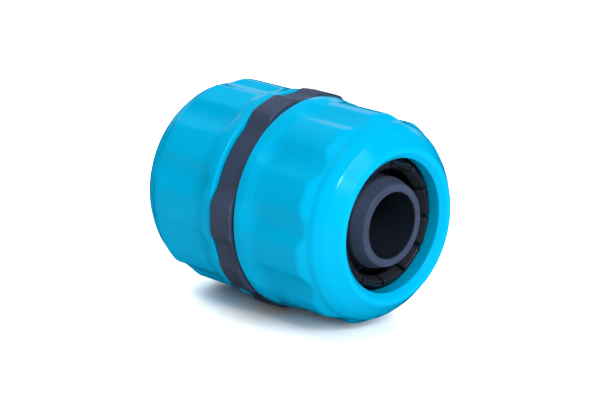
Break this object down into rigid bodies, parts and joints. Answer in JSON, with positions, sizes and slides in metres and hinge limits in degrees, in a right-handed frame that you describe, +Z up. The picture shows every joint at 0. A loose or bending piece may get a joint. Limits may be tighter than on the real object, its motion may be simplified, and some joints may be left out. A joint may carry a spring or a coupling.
{
  "type": "hose mender",
  "caption": "Double-ended hose mender: turquoise screw nuts on a dark lugged centre body, with a ridged through spigot and slotted clamping claws for a hose at each end.",
  "frame": {"origin": "middle of the water bore, half way along it", "axes": "+X along the water bore towards the right-hand hose, +Z up as the mender lies"},
  "size_m": [0.0564, 0.0462, 0.0456],
  "materials": {
    "turquoise_plastic": "satin gloss moulded plastic",
    "graphite_plastic": "fine matt moulded plastic",
    "claw_plastic": "smooth moulded plastic"
  },
  "bodies": {
    "centre": {"centre_body": "graphite_plastic"},
    "right_collet": {"collet_right": "claw_plastic"},
    "right_nut": {"nut_right": "turquoise_plastic"},
    "left_collet": {"collet_left": "claw_plastic"},
    "left_nut": {"nut_left": "turquoise_plastic"}
  },
  "joints": [
    {"name": "collet_right_slide", "type": "slide", "parent": "centre", "child": "right_collet", "axis": [1, 0, 0], "range_m": [0, 0.0075]},
    {"name": "nut_right_turn", "type": "hinge", "parent": "right_collet", "child": "right_nut", "pos_m": [0, 0, 0], "axis": [1, 0, 0], "range_deg": [0, 900]},
    {"name": "collet_left_slide", "type": "slide", "parent": "centre", "child": "left_collet", "axis": [-1, 0, 0], "range_m": [0, 0.0075]},
    {"name": "nut_left_turn", "type": "hinge", "parent": "left_collet", "child": "left_nut", "pos_m": [0, 0, 0], "axis": [-1, 0, 0], "range_deg": [0, 900]}
  ],
  "couplings": [
    {"joint": "collet_right_slide", "follows": "nut_right_turn", "m_per_rad": 0.00047746},
    {"joint": "collet_left_slide", "follows": "nut_left_turn", "m_per_rad": 0.00047746}
  ]
}
